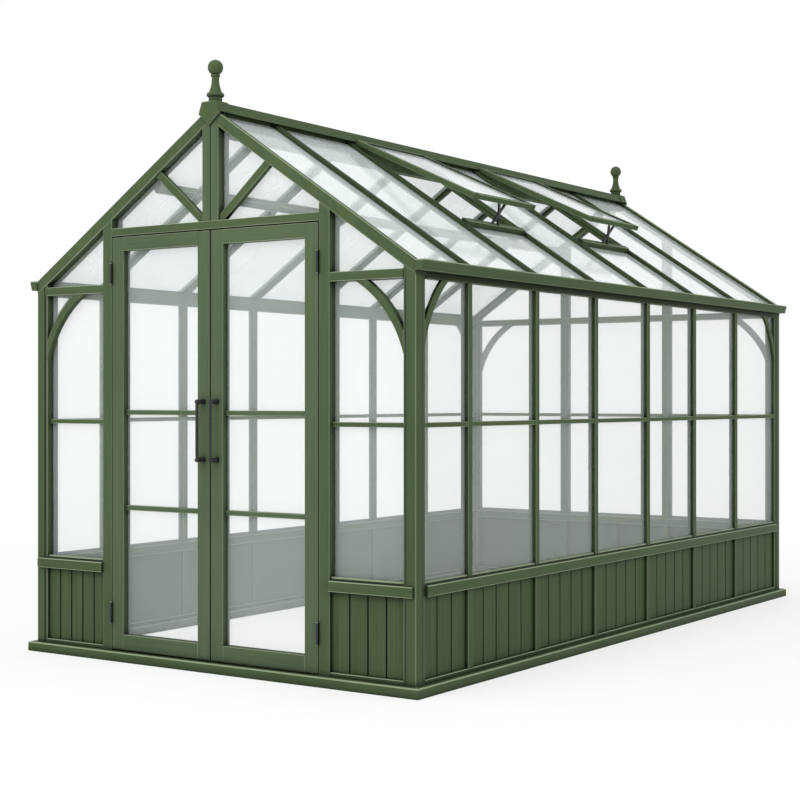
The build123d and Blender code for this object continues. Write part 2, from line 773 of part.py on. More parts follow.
# Finials, turned about the upright through the middle of each sleeve
finial_place = half_length - sleeve_length / 2
ring_low = plate_top + finial_base_height
ring_high = ring_low + finial_ring_height
collar_low = ring_high + finial_neck_height
collar_high = collar_low + finial_collar_height
ball_centre = collar_high + sqrt(finial_ball_radius**2 - finial_neck_radius**2)
with BuildPart() as finials:
    with BuildSketch(cross_section(-finial_place)):
        with BuildLine():
            Polyline((0, plate_top), (finial_base_radius, plate_top), (finial_base_radius, ring_low))
            Line((finial_base_radius, ring_low), (finial_flare_radius, ring_low))
            ThreePointArc(
                (finial_flare_radius, ring_low),
                (finial_ring_radius, (ring_low + ring_high) / 2),
                (finial_flare_radius, ring_high),
            )
            ThreePointArc(
                (finial_flare_radius, ring_high),
                (finial_waist_radius, ring_high + finial_waist_height),
                (finial_neck_radius, collar_low),
            )
            ThreePointArc(
                (finial_neck_radius, collar_low),
                (finial_collar_radius, (collar_low + collar_high) / 2),
                (finial_neck_radius, collar_high),
            )
            ThreePointArc(
                (finial_neck_radius, collar_high),
                (finial_ball_radius, ball_centre),
                (0, ball_centre + finial_ball_radius),
            )
            Line((0, ball_centre + finial_ball_radius), (0, plate_top))
        make_face()
    revolve(axis=Axis((0, -finial_place, 0), (0, 0, 1)))
    mirror(about=Plane.XZ)
finials.part.label = "finials"
export_step(finials.part, "parts/finials.step")

# Roof bars from the ridge board down over the eaves beams, which they are notched to sit on
with BuildPart() as roof_bars:
    for y in bar_places:
        with BuildSketch(across_slope(y)):
            grooved_bar(bar_face, roof_bar_depth, roof_glass_setback)
        extrude(amount=slope_length + roof_bar_depth)
    split(bisect_by=Plane.YZ.offset(ridge_board_thickness / 2), keep=Keep.TOP)
    split(bisect_by=Plane.YZ.offset(half_width), keep=Keep.BOTTOM)
    with BuildSketch(cross_section()):
        with BuildLine():
            Polyline(
                (beam_inner, wall_head),
                (half_width + roof_bar_depth, wall_head),
                (half_width + roof_bar_depth, roof_height(half_width + roof_bar_depth, glass_bed)),
                (beam_inner, roof_height(beam_inner, glass_bed)),
                close=True,
            )
        make_face()
    extrude(amount=half_length, both=True, mode=Mode.SUBTRACT)
    mirror(about=Plane.YZ)
roof_bars.part.label = "roof_bars"
export_step(roof_bars.part, "parts/roof_bars.step")

# Purlin under the bars of the left slope
with BuildPart() as roof_purlin:
    place = (-purlin_offset, 0, roof_height(purlin_offset, roof_bar_depth))
    uphill = (-cos(roof_pitch), 0, -sin(roof_pitch))
    with BuildSketch(Plane(origin=place, x_dir=uphill, z_dir=(0, 1, 0))):
        Rectangle(purlin_width, purlin_depth, align=(Align.CENTER, Align.MAX))
    extrude(amount=inner_length, both=True)
roof_purlin.part.label = "roof_purlin"
export_step(roof_purlin.part, "parts/roof_purlin.step")

# Roof glass, from the ridge board out over the gutter, or from a vent's sill down
pane_top = (ridge_board_thickness / 2 + ridge_glass_gap + glass_bed * sin(roof_pitch)) / cos(roof_pitch)
pane_end = (half_width + eaves_glass_overhang + roof_glass_setback * sin(roof_pitch)) / cos(roof_pitch)
sill_centre = vent_sill_offset / cos(roof_pitch)
vented_top = sill_centre + vent_sill_face / 2 - glass_entry
with BuildPart() as roof_glass:
    with BuildSketch(right_slope(roof_glass_setback)):
        for i, (start, end) in enumerate(roof_bays):
            top = vented_top if i in vent_bays else pane_top
            box_between(top, start - glass_entry, pane_end, end + glass_entry)
    extrude(amount=-glass_thickness)
    with BuildSketch(left_slope(roof_glass_setback)):
        for start, end in roof_bays:
            box_between(start - glass_entry, pane_top, end + glass_entry, pane_end)
    extrude(amount=-glass_thickness)
roof_glass.part.label = "roof_glass"
export_step(roof_glass.part, "parts/roof_glass.step")

# Sills that close the lower ends of the vent openings and hold the glass below them
with BuildPart() as vent_sills:
    for i in vent_bays:
        start, end = glazed_bays[i]
        place = Plane(origin=(0, start, roof_height(0)), x_dir=down_slope, z_dir=(0, -1, 0))
        with BuildSketch(place):
            box_between(
                sill_centre - vent_sill_face / 2,
                -roof_bar_depth,
                sill_centre + vent_sill_face / 2,
                vent_sill_upstand,
            )
            with Locations((sill_centre + vent_sill_face / 2, -roof_glass_setback)):
                Rectangle(
                    2 * groove_depth, glass_thickness, align=(Align.CENTER, Align.MAX), mode=Mode.SUBTRACT
                )
        extrude(amount=start - end)
vent_sills.part.label = "vent_sills"
export_step(vent_sills.part, "parts/vent_sills.step")

# Vent sashes, hinged on the bars beside the ridge and propped open over their sills
sash_fall = roof_pitch - radians(vent_opening_angle)
sash_slope = (cos(sash_fall), 0, -sin(sash_fall))
sash_normal = (sin(sash_fall), 0, cos(sash_fall))


# Plane parallel to the open sashes, a given height over their undersides
def sash_plane(height):
    origin = Vector(vent_hinge_offset, 0, roof_height(vent_hinge_offset)) + Vector(*sash_normal) * height
    return Plane(origin=origin, x_dir=sash_slope, z_dir=sash_normal)


sash_glass_low = vent_sash_depth - vent_glass_setback - glass_thickness
with BuildPart() as vent_stiles:
    for i in vent_bays:
        low = glazed_bays[i][0] - vent_sash_lap
        high = glazed_bays[i][1] + vent_sash_lap
        with BuildSketch(sash_plane(0)):
            box_between(0, low, vent_sash_length, low + vent_sash_face)
            box_between(0, high - vent_sash_face, vent_sash_length, high)
        extrude(amount=vent_sash_depth)
        with BuildSketch(sash_plane(sash_glass_low)):
            box_between(
                0,
                low + vent_sash_face - groove_depth,
                vent_sash_length,
                high - vent_sash_face + groove_depth,
            )
        extrude(amount=glass_thickness, mode=Mode.SUBTRACT)
vent_stiles.part.label = "vent_stiles"
export_step(vent_stiles.part, "parts/vent_stiles.step")

with BuildPart() as vent_rails:
    for i in vent_bays:
        low = glazed_bays[i][0] - vent_sash_lap + vent_sash_face
        high = glazed_bays[i][1] + vent_sash_lap - vent_sash_face
        with BuildSketch(sash_plane(0)):
            box_between(0, low, vent_sash_face, high)
            box_between(vent_sash_length - vent_sash_face, low, vent_sash_length, high)
        extrude(amount=vent_sash_depth)
        with BuildSketch(sash_plane(sash_glass_low)):
            box_between(
                vent_sash_face - groove_depth, low, vent_sash_length - vent_sash_face + groove_depth, high
            )
        extrude(amount=glass_thickness, mode=Mode.SUBTRACT)
vent_rails.part.label = "vent_rails"
export_step(vent_rails.part, "parts/vent_rails.step")

with BuildPart() as vent_glass:
    for i in vent_bays:
        low = glazed_bays[i][0] - vent_sash_lap + vent_sash_face - glass_entry
        high = glazed_bays[i][1] + vent_sash_lap - vent_sash_face + glass_entry
        with BuildSketch(sash_plane(sash_glass_low)):
            box_between(
                vent_sash_face - glass_entry, low, vent_sash_length - vent_sash_face + glass_entry, high
            )
        extrude(amount=glass_thickness)
vent_glass.part.label = "vent_glass"
export_step(vent_glass.part, "parts/vent_glass.step")

# Scissor stays that prop each sash off its sill
sill_crown = Vector(0, 0, roof_height(0)) + Vector(*down_slope) * sill_centre
stay_foot = sill_crown + Vector(*roof_normal) * vent_sill_upstand
hinge_line = Vector(vent_hinge_offset, 0, roof_height(vent_hinge_offset))
stay_head = hinge_line + Vector(*sash_slope) * (vent_sash_length - vent_sash_face / 2)
stay_length = (stay_head - stay_foot).length
stay_rise = (stay_head - stay_foot).normalized()
stay_angle = degrees(atan2(stay_length, stay_width))
with BuildPart() as vent_stays:
    for i in vent_bays:
        middle = sum(glazed_bays[i]) / 2
        place = stay_foot + Vector(0, middle, 0)
        with BuildSketch(Plane(origin=place, x_dir=(0, 1, 0), z_dir=(stay_rise.Z, 0, -stay_rise.X))):
            with Locations((0, stay_length / 2)):
                for turn in (stay_angle, -stay_angle):
                    Rectangle(stay_length * 2, stay_bar, rotation=turn)
                Circle(stay_pivot_radius)
        extrude(amount=stay_thickness / 2, both=True)
    split(bisect_by=right_slope(-vent_sill_upstand), keep=Keep.TOP)
    split(bisect_by=sash_plane(0), keep=Keep.BOTTOM)
vent_stays.part.label = "vent_stays"
export_step(vent_stays.part, "parts/vent_stays.step")

# Right door leaf: stiles, rails and glazing bars grooved for the glass
leaf_inner = door_meeting_gap / 2
glass_left = leaf_inner + leaf_stile
glass_right = leaf_edge - leaf_stile
with BuildPart() as door_right_stiles:
    with BuildSketch(Plane.XY.offset(leaf_bottom)):
        box_between(leaf_inner, -half_length, glass_left, leaf_thickness - half_length)
        box_between(glass_right, -half_length, leaf_edge, leaf_thickness - half_length)
        for x in (glass_left, glass_right):
            with Locations((x, leaf_glass_setback - half_length)):
                Rectangle(
                    2 * groove_depth, glass_thickness, align=(Align.CENTER, Align.MIN), mode=Mode.SUBTRACT
                )
    extrude(amount=leaf_top - leaf_bottom)
door_right_stiles.part.label = "door_right_stiles"
export_step(door_right_stiles.part, "parts/door_right_stiles.step")

with BuildPart() as door_right_rails:
    with BuildSketch(Plane.YZ.offset(glass_left)):
        box_between(-half_length, leaf_bottom, leaf_thickness - half_length, leaf_bottom + leaf_bottom_rail)
        box_between(-half_length, leaf_top - leaf_top_rail, leaf_thickness - half_length, leaf_top)
        for z in leaf_bar_heights:
            box_between(
                leaf_bar_setback - half_length,
                z - leaf_bar_face / 2,
                leaf_bar_setback + leaf_bar_depth - half_length,
                z + leaf_bar_face / 2,
            )
        edges = [leaf_bottom + leaf_bottom_rail, leaf_top - leaf_top_rail]
        for z in leaf_bar_heights:
            edges += [z - leaf_bar_face / 2, z + leaf_bar_face / 2]
        for z in edges:
            with Locations((leaf_glass_setback - half_length, z)):
                Rectangle(
                    glass_thickness, 2 * groove_depth, align=(Align.MIN, Align.CENTER), mode=Mode.SUBTRACT
                )
    extrude(amount=glass_right - glass_left)
door_right_rails.part.label = "door_right_rails"
export_step(door_right_rails.part, "parts/door_right_rails.step")

leaf_panes = [leaf_bottom + leaf_bottom_rail]
for z in leaf_bar_heights:
    leaf_panes += [z - leaf_bar_face / 2, z + leaf_bar_face / 2]
leaf_panes.append(leaf_top - leaf_top_rail)
with BuildPart() as door_right_glass:
    with BuildSketch(front_plane(leaf_glass_setback)):
        for low, high in zip(leaf_panes[::2], leaf_panes[1::2]):
            box_between(
                glass_left - glass_entry, low - glass_entry, glass_right + glass_entry, high + glass_entry
            )
    extrude(amount=-glass_thickness)
door_right_glass.part.label = "door_right_glass"
export_step(door_right_glass.part, "parts/door_right_glass.step")

# Pull handle on the meeting stile: a bent bar between two stout posts, each with a round foot
handle_x = leaf_inner + leaf_stile / 2
handle_low = handle_height - handle_length / 2
handle_high = handle_height + handle_length / 2
handle_front = -half_length - handle_projection
handle_post_length = handle_projection + handle_radius
with BuildPart() as door_right_handle:
    with BuildLine(Plane.YZ.offset(handle_x)):
        FilletPolyline(
            (-half_length, handle_low),
            (handle_front, handle_low),
            (handle_front, handle_high),
            (-half_length, handle_high),
            radius=handle_bend,
        )
    with BuildSketch(Plane(origin=(handle_x, -half_length, handle_low), z_dir=(0, -1, 0))):
        Circle(handle_radius)
    sweep()
    for z in (handle_low, handle_high):
        with BuildSketch(Plane(origin=(handle_x, -half_length, z), x_dir=(1, 0, 0), z_dir=(0, 0, -1))):
            Polygon(
                (0, 0),
                (handle_foot_radius, 0),
                (handle_foot_radius, handle_foot_thickness),
                (handle_post_radius, handle_foot_thickness),
                (handle_post_radius, handle_post_length - handle_post_bevel),
                (handle_post_radius - handle_post_bevel, handle_post_length),
                (0, handle_post_length),
                align=None,
            )
        revolve(axis=Axis((handle_x, -half_length, z), (0, 1, 0)))
door_right_handle.part.label = "door_right_handle"
export_step(door_right_handle.part, "parts/door_right_handle.step")

# Butt hinges: the middle knuckle and its plate turn with the leaf, the outer two stay on the post
hinge_x = half_doorway - door_side_gap / 2
hinge_y = -half_length - hinge_standoff
plate_front = hinge_y + hinge_radius + hinge_barrel_clearance
plate_back = hinge_plate_depth - half_length
hinge_centres = (leaf_bottom + hinge_end_margin, leaf_top - hinge_end_margin)
knuckle_half = hinge_height / 4
with BuildPart() as door_right_hinges:
    for z in hinge_centres:
        with BuildSketch(Plane.XY.offset(z - knuckle_half)):
            with Locations((hinge_x, hinge_y)):
                Circle(hinge_radius)
            box_between(leaf_edge, hinge_y, leaf_edge + hinge_plate_thickness, plate_back)
        extrude(amount=2 * knuckle_half)
        with BuildSketch(Plane.XY.offset(z - hinge_height / 2)):
            box_between(leaf_edge, plate_front, leaf_edge + hinge_plate_thickness, plate_back)
        extrude(amount=hinge_height)
door_right_hinges.part.label = "door_right_hinges"
export_step(door_right_hinges.part, "parts/door_right_hinges.step")

with BuildPart() as frame_hinges:
    for z in hinge_centres:
        for foot in (z - hinge_height / 2, z + knuckle_half + hinge_running_gap):
            with BuildSketch(Plane.XY.offset(foot)):
                with Locations((hinge_x, hinge_y)):
                    Circle(hinge_radius)
                box_between(half_doorway - hinge_plate_thickness, hinge_y, half_doorway, plate_back)
            extrude(amount=knuckle_half - hinge_running_gap)
        with BuildSketch(Plane.XY.offset(z - hinge_height / 2)):
            box_between(half_doorway - hinge_plate_thickness, plate_front, half_doorway, plate_back)
        extrude(amount=hinge_height)
    mirror(about=Plane.YZ)
frame_hinges.part.label = "frame_hinges"
export_step(frame_hinges.part, "parts/frame_hinges.step")

# Left door leaf, the right one mirrored
with BuildPart() as door_left_stiles:
    mirror(door_right_stiles.part, about=Plane.YZ)
door_left_stiles.part.label = "door_left_stiles"
export_step(door_left_stiles.part, "parts/door_left_stiles.step")

with BuildPart() as door_left_rails:
    mirror(door_right_rails.part, about=Plane.YZ)
door_left_rails.part.label = "door_left_rails"
export_step(door_left_rails.part, "parts/door_left_rails.step")

with BuildPart() as door_left_glass:
    mirror(door_right_glass.part, about=Plane.YZ)
door_left_glass.part.label = "door_left_glass"
export_step(door_left_glass.part, "parts/door_left_glass.step")

with BuildPart() as door_left_handle:
    mirror(door_right_handle.part, about=Plane.YZ)
door_left_handle.part.label = "door_left_handle"
export_step(door_left_handle.part, "parts/door_left_handle.step")

with BuildPart() as door_left_hinges:
    mirror(door_right_hinges.part, about=Plane.YZ)
door_left_hinges.part.label = "door_left_hinges"
export_step(door_left_hinges.part, "parts/door_left_hinges.step")
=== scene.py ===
import json
from math import radians

import bmesh
import bpy
from mathutils import Matrix, Vector

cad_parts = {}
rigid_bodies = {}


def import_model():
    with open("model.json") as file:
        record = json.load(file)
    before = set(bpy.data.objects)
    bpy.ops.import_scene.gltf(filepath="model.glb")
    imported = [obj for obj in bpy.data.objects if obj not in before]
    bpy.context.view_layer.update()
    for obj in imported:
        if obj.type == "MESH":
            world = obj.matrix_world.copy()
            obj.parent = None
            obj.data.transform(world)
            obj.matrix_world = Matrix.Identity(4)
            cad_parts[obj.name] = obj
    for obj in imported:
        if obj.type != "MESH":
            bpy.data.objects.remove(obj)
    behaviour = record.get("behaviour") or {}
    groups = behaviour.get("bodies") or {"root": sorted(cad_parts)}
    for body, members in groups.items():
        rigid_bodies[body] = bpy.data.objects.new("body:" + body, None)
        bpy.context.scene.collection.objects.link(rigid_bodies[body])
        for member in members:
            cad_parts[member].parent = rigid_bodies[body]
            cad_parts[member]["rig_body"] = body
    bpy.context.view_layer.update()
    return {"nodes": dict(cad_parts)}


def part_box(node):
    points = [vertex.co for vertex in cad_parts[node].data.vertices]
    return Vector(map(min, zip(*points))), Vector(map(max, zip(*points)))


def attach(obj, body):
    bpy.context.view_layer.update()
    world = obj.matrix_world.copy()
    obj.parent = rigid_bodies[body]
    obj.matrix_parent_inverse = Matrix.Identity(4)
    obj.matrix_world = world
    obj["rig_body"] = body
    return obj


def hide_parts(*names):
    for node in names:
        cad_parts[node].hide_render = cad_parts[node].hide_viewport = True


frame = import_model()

# Glass greenhouse: sage green painted frame, clear panes and black door furniture.
# Metres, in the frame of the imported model: the doors face -Y and Z is up.
nodes = frame["nodes"]
print("frame loaded:", len(nodes), "nodes")

# Camera at the photograph's own place and angle
photoView = {
    "place": (4.9818, -7.8717, 1.2995),
    "turn": 34.24,  # degrees anticlockwise from looking straight at the doors
    "lens": 71.58,
    "shift": -0.00265,
}


def setCamera():
    data = bpy.data.cameras.new("photoCamera")
    data.lens = photoView["lens"]
    data.shift_y = photoView["shift"]
    camera = bpy.data.objects.new("photoCamera", data)
    camera.location = photoView["place"]
    camera.rotation_euler = (radians(90), 0, radians(photoView["turn"]))
    bpy.context.scene.collection.objects.link(camera)
    bpy.context.scene.camera = camera


setCamera()
print("camera set")


# Material helpers: every pattern reads Object coordinates
def startMaterial(name):
    material = bpy.data.materials.new(name)
    material.use_nodes = True
    tree = material.node_tree
    return material, tree, tree.nodes["Principled BSDF"]


def noisePattern(tree, scale, detail, stretch=(1, 1, 1), turn=(0, 0, 0)):
    coordinates = tree.nodes.new("ShaderNodeTexCoord")
    mapping = tree.nodes.new("ShaderNodeMapping")
    mapping.inputs["Scale"].default_value = stretch
    mapping.inputs["Rotation"].default_value = [radians(angle) for angle in turn]
    noise = tree.nodes.new("ShaderNodeTexNoise")
    noise.inputs["Scale"].default_value = scale
    noise.inputs["Detail"].default_value = detail
    tree.links.new(coordinates.outputs["Object"], mapping.inputs["Vector"])
    tree.links.new(mapping.outputs["Vector"], noise.inputs["Vector"])
    return noise.outputs["Fac"]


# Spread a value over a new range; without a range of its own it is taken for a noise
def stretchRange(tree, value, low, high, fromLow=0.32, fromHigh=0.68):
    spread = tree.nodes.new("ShaderNodeMapRange")
    spread.inputs["From Min"].default_value = fromLow
    spread.inputs["From Max"].default_value = fromHigh
    spread.inputs["To Min"].default_value = low
    spread.inputs["To Max"].default_value = high
    tree.links.new(value, spread.inputs["Value"])
    return spread.outputs["Result"]


def addUp(tree, first, second):
    total = tree.nodes.new("ShaderNodeMath")
    total.operation = "ADD"
    total.use_clamp = True
    tree.links.new(first, total.inputs[0])
    tree.links.new(second, total.inputs[1])
    return total.outputs["Value"]


def colourBetween(tree, value, dark, pale):
    ramp = tree.nodes.new("ShaderNodeValToRGB")
    ramp.color_ramp.elements[0].color = (*dark, 1)
    ramp.color_ramp.elements[1].color = (*pale, 1)
    tree.links.new(value, ramp.inputs["Fac"])
    return ramp.outputs["Color"]


def mixColour(tree, value, first, second):
    blend = tree.nodes.new("ShaderNodeMix")
    blend.data_type = "RGBA"
    colours = [socket for socket in blend.inputs if socket.type == "RGBA"]
    colours[0].default_value = (*first, 1)
    tree.links.new(value, blend.inputs["Factor"])
    tree.links.new(second, colours[1])
    return next(socket for socket in blend.outputs if socket.type == "RGBA")


# How open the surface lies, from ambient occlusion: it falls in rebates, joints and inner corners, where it
# sets the painted shade of the paint
def creviceShadeMask(tree, reach, samples, low, high):
    creviceAo = tree.nodes.new("ShaderNodeAmbientOcclusion")
    creviceAo.samples = samples
    creviceAo.inputs["Distance"].default_value = reach
    return stretchRange(tree, creviceAo.outputs["AO"], 0, 1, low, high)


def fineBump(tree, shader, value, strength, height):
    bump = tree.nodes.new("ShaderNodeBump")
    bump.inputs["Strength"].default_value = strength
    bump.inputs["Distance"].default_value = height
    tree.links.new(value, bump.inputs["Height"])
    tree.links.new(bump.outputs["Normal"], shader.inputs["Normal"])


# Satin paint: slow clouds of tone, brush streaks along the piece, a fine skin, and painted shade from
# ambient occlusion in rebates, joints and inner corners
paintLook = {
    "dark": (0.054, 0.082, 0.036),
    "pale": (0.080, 0.115, 0.054),
    # painted highlight: paler copies of the paint for the eased edges, palest on the level runs, whose edges
    # face up to the light
    "edges": {
        "upright": ((0.130, 0.172, 0.100), (0.185, 0.235, 0.145)),
        "level": ((0.240, 0.300, 0.185), (0.320, 0.385, 0.255)),
        "sloped": ((0.170, 0.220, 0.130), (0.240, 0.295, 0.190)),
    },
    # painted shade: darker copies of the paint under the gutters, on the roof bars and on the left rafter's
    # front corner
    "shaded": ((0.020, 0.030, 0.012), (0.034, 0.048, 0.021)),  # under the gutters and on the roof bars
    # painted shade: the paint darkens towards this colour in rebates, joints and inner corners
    "creviceShadeColour": (0.010, 0.016, 0.007),  # in rebates, joints and inner corners
    "creviceShadeReach": 0.040,
    "creviceShadeSamples": 6,
    "creviceShadeRange": (0.36, 0.92),
    "clouds": 1.4,
    "cloudDetail": 4,
    "streaks": {"upright": (95, 95, 1.8), "level": (1.8, 1.8, 95), "sloped": (30, 30, 30)},
    "streakShare": 0.45,
    "fineDetail": 2,  # of the streaks and the skin
    "skin": 620,
    "skinStrength": 0.16,
    "skinHeight": 0.0004,
    "gloss": (0.42, 0.55),
    "shine": 0.06,
    # painted light: a paler, less saturated copy of the paint stands in for the light and sheen on the doors
    # and the king post
    "doorPaintedLight": (1.20, 1.16, 1.36),  # the doors and the king post are a little paler
}
boardLook = {"dark": (0.050, 0.076, 0.032), "pale": (0.076, 0.110, 0.051), "streakShare": 0.7}


def makePaint(name, run, dark, pale, streakShare=paintLook["streakShare"]):
    material, tree, shader = startMaterial(name)
    clouds = noisePattern(tree, paintLook["clouds"], paintLook["cloudDetail"])
    streaks = noisePattern(tree, 1, paintLook["fineDetail"], paintLook["streaks"][run])
    tone = addUp(
        tree,
        stretchRange(tree, clouds, 0, 1 - streakShare),
        stretchRange(tree, streaks, 0, streakShare),
    )
    reach, samples = paintLook["creviceShadeReach"], paintLook["creviceShadeSamples"]
    # painted shade: ambient occlusion darkens the paint in rebates, joints and inner corners
    crevicePaintedShadeMask = creviceShadeMask(tree, reach, samples, *paintLook["creviceShadeRange"])
    coat = mixColour(tree, crevicePaintedShadeMask, paintLook["creviceShadeColour"], colourBetween(tree, tone, dark, pale))
    tree.links.new(coat, shader.inputs["Base Color"])
    tree.links.new(stretchRange(tree, clouds, *paintLook["gloss"]), shader.inputs["Roughness"])
    shader.inputs["Specular IOR Level"].default_value = paintLook["shine"]
    skin = noisePattern(tree, paintLook["skin"], paintLook["fineDetail"])
    fineBump(tree, shader, skin, paintLook["skinStrength"], paintLook["skinHeight"])
    return material


# Each coat is the paint of the faces, then a paler copy as painted highlight on the eased edges, then a
# darker copy as painted shade on the shaded faces
paints = {
    run: (
        makePaint(run + "Paint", run, paintLook["dark"], paintLook["pale"]),
        makePaint(run + "PaintHighlight", run, *paintLook["edges"][run]),
        makePaint(run + "PaintShaded", run, *paintLook["shaded"]),
    )
    for run in paintLook["streaks"]
}


# painted light: the paler copy of the paint for the doors and the king post
def doorLitColour(colour):
    return [part * share for part, share in zip(colour, paintLook["doorPaintedLight"])]


doorLitPaints = {
    run: (
        makePaint(run + "DoorLitPaint", run, doorLitColour(paintLook["dark"]), doorLitColour(paintLook["pale"])),
        paints[run][1],
    )
    for run in ("upright", "level")
}
boardPaint = makePaint("boardPaint", "upright", **boardLook)

# Clear glass with a painted reflection of the bright studio: a soft white veil of diffuse colour on each
# face, stronger on the roof
glassLook = {
    "wall": {"reflectionVeil": (0.125, 0.155), "cloud": 0.8, "stretch": (1, 1, 1), "turn": (0, 0, 0)},
    "roof": {"reflectionVeil": (0.27, 0.33), "cloud": 1.3, "stretch": (0.7, 3.0, 0.7), "turn": (0, 0, 28)},
    "dark": (0.85, 0.94, 0.93),
    "pale": (0.92, 0.985, 0.985),
    "cloudDetail": 4,
    "facingBlend": 0.35,
    # painted reflection: the white veil grows where the pane is seen edge-on
    "grazingReflection": 0.35,  # how much the veil thickens where the pane is seen edge-on
    "grazingReflectionRange": (0.55, 1),
    "roughness": 0.07,
    # the painted reflection veil casts only this share of a shadow, so most light passes into the greenhouse
    "shadowShare": 0.4,  # the share of the veil that casts a shadow: haze passes most of its light on
}


def makeGlass(name, look):
    material, tree, shader = startMaterial(name)
    reflectionClouds = noisePattern(tree, look["cloud"], glassLook["cloudDetail"], look["stretch"], look["turn"])
    facing = tree.nodes.new("ShaderNodeLayerWeight")
    facing.inputs["Blend"].default_value = glassLook["facingBlend"]
    seenAt = facing.outputs["Facing"]
    grazingReflectionShare = stretchRange(tree, seenAt, 0, glassLook["grazingReflection"], *glassLook["grazingReflectionRange"])
    # painted reflection: white diffuse colour with alpha stands in for the studio reflected in the glass
    reflectionVeil = addUp(tree, stretchRange(tree, reflectionClouds, *look["reflectionVeil"]), grazingReflectionShare)
    path = tree.nodes.new("ShaderNodeLightPath")
    passing = stretchRange(tree, path.outputs["Is Shadow Ray"], 1, glassLook["shadowShare"], 0, 1)
    cover = tree.nodes.new("ShaderNodeMath")
    cover.operation = "MULTIPLY"
    tree.links.new(reflectionVeil, cover.inputs[0])
    tree.links.new(passing, cover.inputs[1])
    tree.links.new(cover.outputs["Value"], shader.inputs["Alpha"])
    reflectionTint = colourBetween(tree, reflectionClouds, glassLook["dark"], glassLook["pale"])
    tree.links.new(reflectionTint, shader.inputs["Base Color"])
    shader.inputs["Roughness"].default_value = glassLook["roughness"]
    return material


wallGlass = makeGlass("wallGlass", glassLook["wall"])
roofGlass = makeGlass("roofGlass", glassLook["roof"])

# Black door furniture, bright steel pins and rubber glazing seal rings; the same near-black rubber also
# serves as painted shade in the board joints, down the corner posts and in front of the sill beads
fittingLook = {
    "black": {
        "dark": (0.009, 0.009, 0.010),
        "pale": (0.020, 0.020, 0.021),
        "gloss": (0.24, 0.36),
        "metal": 0.0,
    },
    "steel": {
        "dark": (0.36, 0.37, 0.38),
        "pale": (0.52, 0.53, 0.54),
        "gloss": (0.25, 0.38),
        "metal": 1.0,
    },
    "rubberAndPaintedShade": {
        "dark": (0.009, 0.015, 0.008),
        "pale": (0.017, 0.026, 0.014),
        "gloss": (0.6, 0.8),
        "metal": 0.0,
    },
}
fittingSkin = {
    "cast": 60,
    "castDetail": 4,
    "grain": 1400,
    "grainDetail": 2,
    "strength": 0.12,
    "height": 0.0002,
}


def makeFitting(name):
    look = fittingLook[name]
    material, tree, shader = startMaterial(name)
    cast = noisePattern(tree, fittingSkin["cast"], fittingSkin["castDetail"])
    grain = noisePattern(tree, fittingSkin["grain"], fittingSkin["grainDetail"])
    tree.links.new(colourBetween(tree, cast, look["dark"], look["pale"]), shader.inputs["Base Color"])
    tree.links.new(stretchRange(tree, cast, *look["gloss"]), shader.inputs["Roughness"])
    shader.inputs["Metallic"].default_value = look["metal"]
    fineBump(tree, shader, grain, fittingSkin["strength"], fittingSkin["height"])
    return material


black = makeFitting("black")
steel = makeFitting("steel")
# near-black rubber for the seal rings, also used as painted shade
rubberAndPaintedShade = makeFitting("rubberAndPaintedShade")
print("materials mixed:", len(bpy.data.materials))

# Mesh helpers
meshRules = {
    "merge": 0.00002,
    "flat": 1,  # degrees under which faces are one plane
    "smooth": 20,  # degrees under which faces shade as one curve
    "corner": 30,  # degrees over which an edge is a corner
    "longEdge": 0.07,
    "wideFace": 0.0095,  # glass grooves are narrower than this, so their lips stay sharp
    "square": 0.98,  # a face whose normal has no part over this is a bevel
}
# the edge place holds the painted highlight, the dark place the painted shade
surface = {"paint": 0, "edge": 1, "dark": 2}  # places of a piece's materials


def mergedCopy(nodeName):
    bm = bmesh.new()
    bm.from_mesh(nodes[nodeName].data)
    bmesh.ops.remove_doubles(bm, verts=bm.verts, dist=meshRules["merge"])
    bmesh.ops.dissolve_limit(bm, angle_limit=radians(meshRules["flat"]), verts=bm.verts, edges=bm.edges)
    return bm


def finishPiece(bm, name, body, materials, replaced=()):
    mesh = bpy.data.meshes.new(name)
    bm.to_mesh(mesh)
    bm.free()
    for material in materials:
        mesh.materials.append(material)
    mesh.polygons.foreach_set("use_smooth", [True] * len(mesh.polygons))
    mesh.set_sharp_from_angle(angle=radians(meshRules["smooth"]))
    piece = bpy.data.objects.new(name, mesh)
    bpy.context.scene.collection.objects.link(piece)
    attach(piece, body)
    if replaced:
        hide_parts(*replaced)


# How far a face reaches from one of its own edges
def faceReach(face, edge):
    start = edge.verts[0].co
    along = (edge.verts[1].co - start).normalized()
    return max((v.co - start).cross(along).length for v in face.verts)


def isOuterCorner(edge):
    return (
        len(edge.link_faces) == 2
        and edge.is_convex
        and edge.calc_length() >= meshRules["longEdge"]
        and edge.calc_face_angle() > radians(meshRules["corner"])
        and all(faceReach(face, edge) >= meshRules["wideFace"] for face in edge.link_faces)
    )


# Ease the long outer corners and give them a painted highlight, the paler edge copy of the paint
def easeCornersWithHighlight(bm, width, run):
    corners = [edge for edge in bm.edges if isOuterCorner(edge)]
    eased = bmesh.ops.bevel(
        bm, geom=corners, offset=width, affect="EDGES", segments=2, profile=0.5, material=-1
    )
    for face in eased["faces"]:
        face.material_index = surface["edge"]
    if run != "level":
        return
    # the upward bevels that the shape itself has along the plinth and the sills get the painted highlight
    # too
    for face in bm.faces:  # the bevels that the shape itself has along the plinth and the sills
        squareness = max(abs(part) for part in face.normal)
        if squareness < meshRules["square"] and face.normal.z > 0:
            if min(faceReach(face, edge) for edge in face.edges) < meshRules["wideFace"]:
                face.material_index = surface["edge"]


def addBlock(bm, low, high):
    place = Matrix.LocRotScale((low + high) / 2, None, high - low)
    return bmesh.ops.create_cube(bm, size=1, matrix=place)["verts"]
